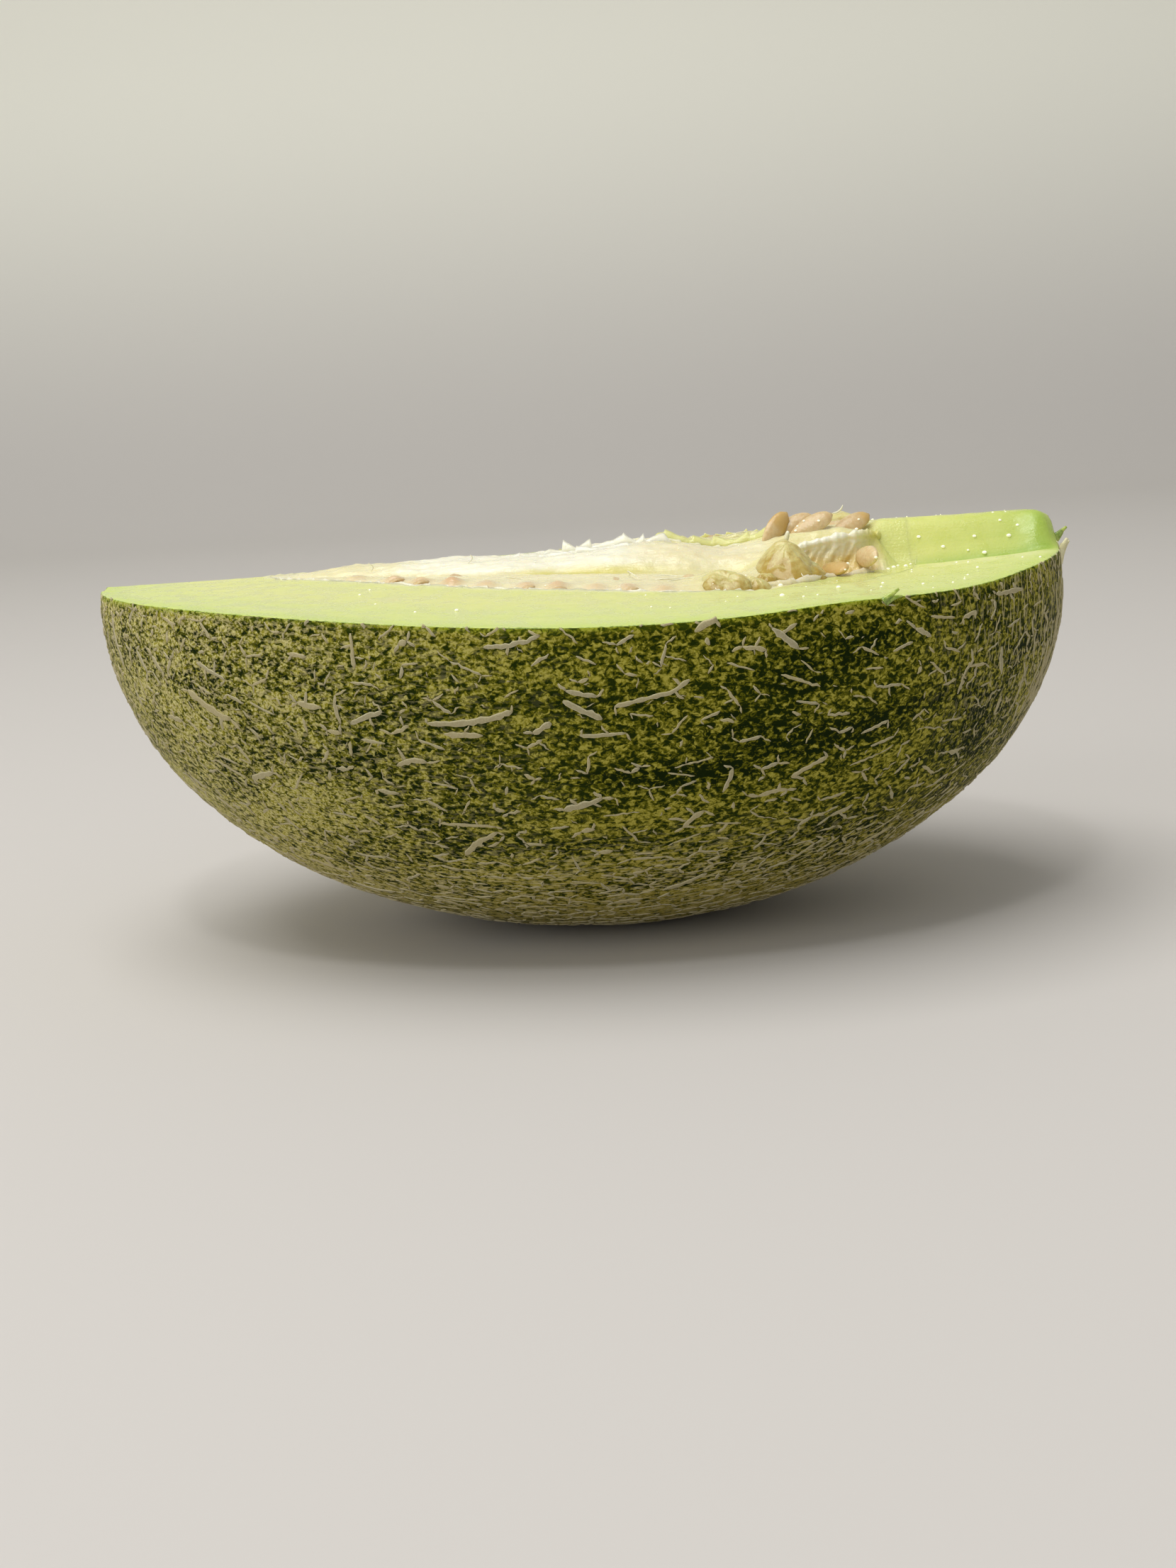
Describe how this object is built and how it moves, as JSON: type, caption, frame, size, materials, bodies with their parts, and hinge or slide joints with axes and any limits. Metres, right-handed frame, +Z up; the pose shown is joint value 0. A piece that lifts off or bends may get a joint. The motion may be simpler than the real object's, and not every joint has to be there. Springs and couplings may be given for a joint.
{
  "type": "melon half",
  "caption": "Half of an oval netted green melon, cut lengthwise by hand, with flesh, a filled seed cavity and a thin mottled rind.",
  "frame": {"origin": "middle of the bounding box's bottom, on the small flat spot that the rind rests on", "axes": "+X along the fruit to its stem end, -Y to the side whose cut is lower, +Z up, out of the cut face"},
  "size_m": [0.2098, 0.1388, 0.0877],
  "materials": {
    "flesh": "moist pale yellow-green flesh, greener towards the skin",
    "rind": "satin skin, mottled dark green on olive",
    "net": "dry corky grey-beige ridges",
    "pulp": "wet fibrous cream-white pulp",
    "seeds": "wet smooth tan seed coats",
    "jelly": "clear amber jelly",
    "juice": "clear beads of juice"
  },
  "bodies": {
    "root": {"flesh": "flesh", "seed_pulp": "pulp"}
  },
  "joints": []
}
